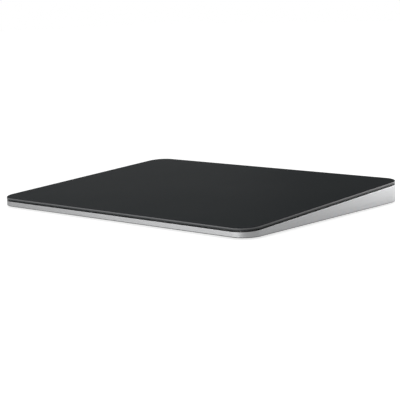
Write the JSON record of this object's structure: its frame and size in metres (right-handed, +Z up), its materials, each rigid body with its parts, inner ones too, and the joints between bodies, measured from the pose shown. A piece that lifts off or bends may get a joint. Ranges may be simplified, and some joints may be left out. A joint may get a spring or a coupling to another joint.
{
  "type": "trackpad",
  "caption": "Desktop trackpad: a black glass touch plate on a silver wedge housing that rises to the rear, with a charging socket and a sliding switch in the rear wall.",
  "frame": {"origin": "on the desk, under the middle of the trackpad, at the bottom centre of its bounding box", "axes": "+X to the right as seen by the user, +Y from the low front edge to the high rear edge, +Z up"},
  "size_m": [0.16, 0.115, 0.0109],
  "materials": {
    "housing_aluminium": "satin",
    "touch_glass": "satin",
    "clear_film": "satin",
    "sensor_laminate": "satin",
    "stiffener_steel": "satin",
    "pad_rubber": "matte",
    "beam_steel": "satin",
    "gauge_foil": "satin",
    "flex_film": "satin",
    "cover_plastic": "matte",
    "foot_rubber": "matte",
    "battery_pouch": "satin",
    "board_laminate": "satin",
    "chip_plastic": "matte",
    "connector_plastic": "matte",
    "shield_steel": "satin",
    "core_iron": "matte",
    "coil_copper": "satin",
    "socket_steel": "satin",
    "socket_plastic": "satin",
    "contact_brass": "satin",
    "knob_plastic": "satin",
    "marker_green": "satin",
    "antenna_plastic": "matte"
  },
  "bodies": {
    "base": {"housing": "housing_aluminium", "bottom_cover": "cover_plastic", "cover_adhesive": "clear_film", "foot_front_left": "foot_rubber", "foot_front_right": "foot_rubber", "foot_rear_left": "foot_rubber", "foot_rear_right": "foot_rubber", "battery_cell": "battery_pouch", "battery_adhesive": "clear_film", "battery_protection_board": "board_laminate", "battery_lead": "flex_film", "logic_board": "board_laminate", "logic_chips": "chip_plastic", "radio_shield_can": "shield_steel", "board_connectors": "connector_plastic", "port_board": "board_laminate", "port_lead": "flex_film", "usb_c_shell": "socket_steel", "usb_c_tongue": "socket_plastic", "usb_c_contacts": "contact_brass", "power_switch_body": "socket_plastic", "antenna": "antenna_plastic", "haptic_core": "core_iron", "haptic_coils": "coil_copper", "haptic_bracket": "beam_steel", "load_beam_front_left": "beam_steel", "load_beam_front_right": "beam_steel", "load_beam_rear_left": "beam_steel", "load_beam_rear_right": "beam_steel", "strain_gauges": "gauge_foil", "gauge_leads": "flex_film"},
    "power_switch": {"power_switch_knob": "knob_plastic", "switch_on_marker": "marker_green"},
    "pads": {"sensor_pads": "pad_rubber"},
    "touch_plate": {"touch_glass": "touch_glass", "glass_adhesive": "clear_film", "touch_sensor_board": "sensor_laminate", "stiffener_plate": "stiffener_steel", "haptic_armature": "core_iron", "touch_flex": "flex_film"}
  },
  "joints": [
    {"name": "power_switch_slide", "type": "slide", "parent": "base", "child": "power_switch", "axis": [1, 0, 0], "range_m": [0, 0.002]},
    {"name": "plate_press", "type": "slide", "parent": "base", "child": "pads", "axis": [0, -0.0521, 0.9986], "range_m": [-0.00015, 0], "stiffness_N_per_m": 20000, "springref_m": 0.0001, "deforming": ["load_beam_front_left", "load_beam_front_right", "load_beam_rear_left", "load_beam_rear_right", "touch_flex"]},
    {"name": "plate_haptic_shift", "type": "slide", "parent": "pads", "child": "touch_plate", "axis": [1, 0, 0], "range_m": [-0.0001, 0.0001], "stiffness_N_per_m": 20000, "deforming": ["touch_flex"]}
  ]
}
